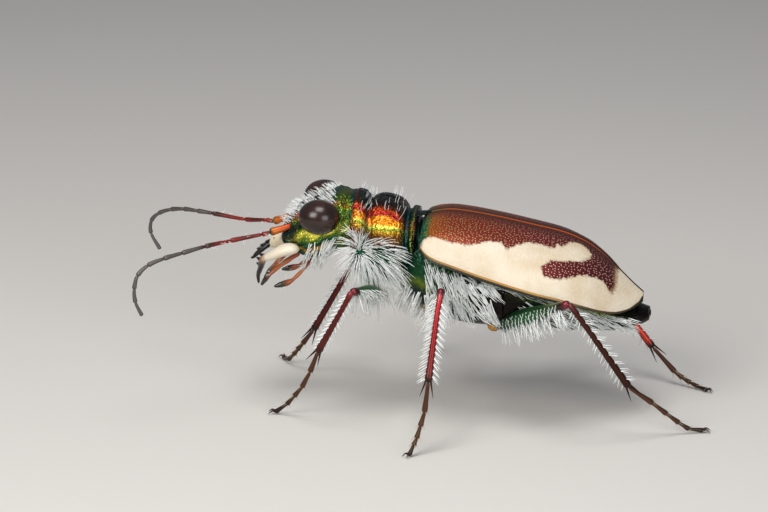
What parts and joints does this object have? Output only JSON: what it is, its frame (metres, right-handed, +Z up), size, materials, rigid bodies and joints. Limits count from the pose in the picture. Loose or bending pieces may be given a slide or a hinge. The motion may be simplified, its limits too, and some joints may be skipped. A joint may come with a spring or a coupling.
{
  "type": "tiger beetle model",
  "caption": "Life-size still model of a big sand tiger beetle with ivory and maroon wing cases, alert on six long legs",
  "frame": {"origin": "On the floor under the middle of the outer box of the whole beetle, feelers and feet included", "axes": "+X toward the tail, +Y toward the beetle's right side, +Z up; the camera of the picture looks along +Y at the left side"},
  "size_m": [0.0257, 0.0145, 0.0098],
  "materials": {
    "head_shell": "metallic green shell with copper and gold lights",
    "eye": "smooth glossy dark brown",
    "ivory": "smooth ivory with brown tips",
    "palp": "clear orange brown",
    "feeler": "copper red at the base, dull grey brown beyond",
    "collar_shell": "metallic copper, gold and green shell",
    "trunk_shell": "dark metallic green shell with white bristles",
    "belly_shell": "dark green to black brown shell with white bristles",
    "wing_case": "fine granular maroon with a broad ivory band",
    "thigh": "metallic green with white bristles",
    "shin": "metallic dark red with white bristles",
    "foot": "dark brown"
  },
  "bodies": {
    "root": {"abdomen": "belly_shell", "antenna_base_left": "feeler", "antenna_base_right": "feeler", "antenna_middle_left": "feeler", "antenna_middle_right": "feeler", "antenna_scape_left": "feeler", "antenna_scape_right": "feeler", "antenna_tip_left": "feeler", "antenna_tip_right": "feeler", "coxa_fore_left": "collar_shell", "coxa_fore_right": "collar_shell", "coxa_hind_left": "collar_shell", "coxa_hind_right": "collar_shell", "coxa_mid_left": "collar_shell", "coxa_mid_right": "collar_shell", "elytron_left": "wing_case", "elytron_right": "wing_case", "eye_left": "eye", "eye_right": "eye", "femur_fore_left": "thigh", "femur_fore_right": "thigh", "femur_hind_left": "thigh", "femur_hind_right": "thigh", "femur_mid_left": "thigh", "femur_mid_right": "thigh", "head": "head_shell", "labial_palp_left": "palp", "labial_palp_right": "palp", "labrum": "ivory", "mandible_left": "ivory", "mandible_right": "ivory", "maxillary_palp_left": "palp", "maxillary_palp_right": "palp", "mesothorax": "trunk_shell", "metathorax": "trunk_shell", "prothorax": "collar_shell", "tarsus_fore_left": "foot", "tarsus_fore_right": "foot", "tarsus_hind_left": "foot", "tarsus_hind_right": "foot", "tarsus_mid_left": "foot", "tarsus_mid_right": "foot", "tibia_fore_left": "shin", "tibia_fore_right": "shin", "tibia_hind_left": "shin", "tibia_hind_right": "shin", "tibia_mid_left": "shin", "tibia_mid_right": "shin"}
  },
  "joints": []
}
